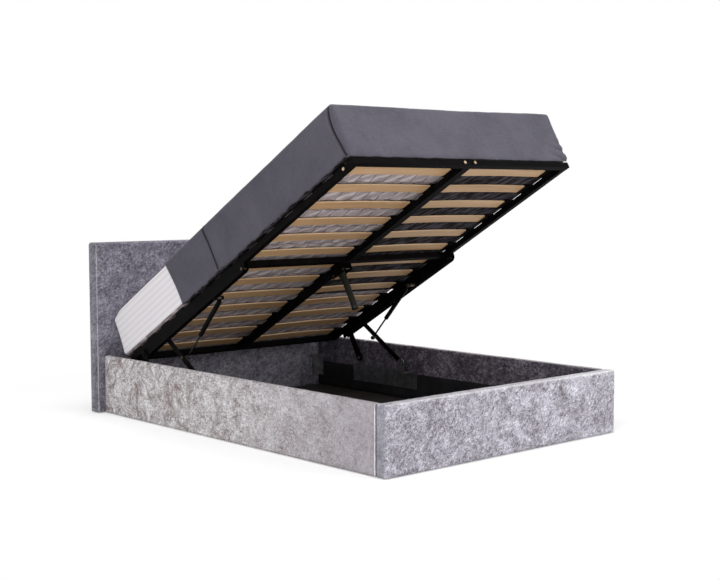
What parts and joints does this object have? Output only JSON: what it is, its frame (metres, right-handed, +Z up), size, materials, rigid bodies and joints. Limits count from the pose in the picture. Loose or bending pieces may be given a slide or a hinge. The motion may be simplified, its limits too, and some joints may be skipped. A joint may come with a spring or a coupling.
{
  "type": "ottoman bed",
  "caption": "Upholstered double bed with a gas-lift slatted platform raised at the foot end, mattress and bedspread on it, over an open storage base.",
  "frame": {"origin": "on the floor, in the middle of the whole footprint of the base and headboard", "axes": "+X across the bed, +Y towards the headboard, +Z up"},
  "size_m": [1.504, 2.12, 1.4362],
  "materials": {
    "board": "plain board, dark brown",
    "velvet": "silver crushed velvet",
    "lining": "black non-woven lining",
    "floor_board": "thin board, dark",
    "zinc_steel": "zinc plated",
    "black_steel": "satin black powder coat",
    "brass_plated": "yellow zinc plated",
    "strut_black": "gloss black",
    "rod_steel": "polished",
    "black_plastic": "moulded, matt",
    "birch": "laminated birch",
    "ticking": "white mattress ticking",
    "bedspread": "dark grey woven cloth"
  },
  "bodies": {
    "base": {"headboard_core": "board", "headboard_cover": "velvet", "headboard_back_cloth": "lining", "foot_board": "board", "foot_cover": "velvet", "side_board_left": "board", "side_board_right": "board", "side_cover_left": "velvet", "side_cover_right": "velvet", "storage_lining": "lining", "floor_boards": "floor_board", "corner_brackets": "zinc_steel", "base_screws": "zinc_steel", "base_plate_left": "zinc_steel", "base_plate_right": "zinc_steel", "base_pivot_pins": "zinc_steel"},
    "platform": {"side_rail_left": "black_steel", "side_rail_right": "black_steel", "foot_rail": "black_steel", "head_rail": "black_steel", "tube_end_caps": "black_plastic", "cross_bar": "black_steel", "centre_rail_foot": "black_steel", "centre_rail_head": "black_steel", "lift_bar_left": "black_steel", "lift_bar_right": "black_steel", "platform_pivot_bolts": "black_steel", "strut_studs": "brass_plated", "side_slat_holders": "black_plastic", "centre_slat_holders": "black_plastic", "slat_row_01": "birch", "slat_row_02": "birch", "slat_row_03": "birch", "slat_row_04": "birch", "slat_row_05": "birch", "slat_row_06": "birch", "slat_row_07": "birch", "slat_row_08": "birch", "slat_row_09": "birch", "slat_row_10": "birch", "slat_row_11": "birch", "slat_row_12": "birch", "slat_row_13": "birch", "leg_bracket": "black_steel", "centre_leg": "black_steel", "leg_foot": "rod_steel", "frame_bolts": "brass_plated", "mattress": "ticking", "mattress_cover": "bedspread"},
    "lift_arms": {"lift_arm_left": "black_steel", "lift_arm_right": "black_steel", "arm_stud_bolts": "brass_plated"},
    "rear_links": {"rear_link_left": "black_steel", "rear_link_right": "black_steel"},
    "strut_cylinders": {"strut_cylinder_left": "strut_black", "strut_cylinder_right": "strut_black"},
    "strut_rods": {"strut_rod_left": "rod_steel", "strut_rod_right": "rod_steel"}
  },
  "joints": [
    {"name": "lift_arm_pivot", "type": "hinge", "parent": "base", "child": "lift_arms", "pos_m": [0, 0.241, 0.2], "axis": [-1, 0, 0], "range_deg": [0, 33.8]},
    {"name": "platform_lift", "type": "hinge", "parent": "lift_arms", "child": "platform", "pos_m": [0, 0.55152, 0.39524], "axis": [1, 0, 0], "range_deg": [0, 63.32], "stiffness_Nm_per_rad": 420, "springref_deg": -143.24},
    {"name": "rear_link_pivot", "type": "hinge", "parent": "base", "child": "rear_links", "pos_m": [0, 0.6226, 0.1907], "axis": [-1, 0, 0], "range_deg": [0, 58.8]},
    {"name": "strut_pivot", "type": "hinge", "parent": "platform", "child": "strut_cylinders", "pos_m": [0, 0.16025, 0.61752], "axis": [1, 0, 0], "range_deg": [0, 18.6]},
    {"name": "rod_slide", "type": "slide", "parent": "strut_cylinders", "child": "strut_rods", "axis": [0, -0.6778, 0.7353], "range_m": [0, 0.0927]}
  ],
  "couplings": [
    {"joint": "lift_arm_pivot", "follows": "platform_lift", "ratio": 0.53253},
    {"joint": "rear_link_pivot", "follows": "platform_lift", "ratio": 0.92419},
    {"joint": "strut_pivot", "follows": "platform_lift", "ratio": 0.29107},
    {"joint": "rod_slide", "follows": "platform_lift", "m_per_rad": 0.083709}
  ]
}
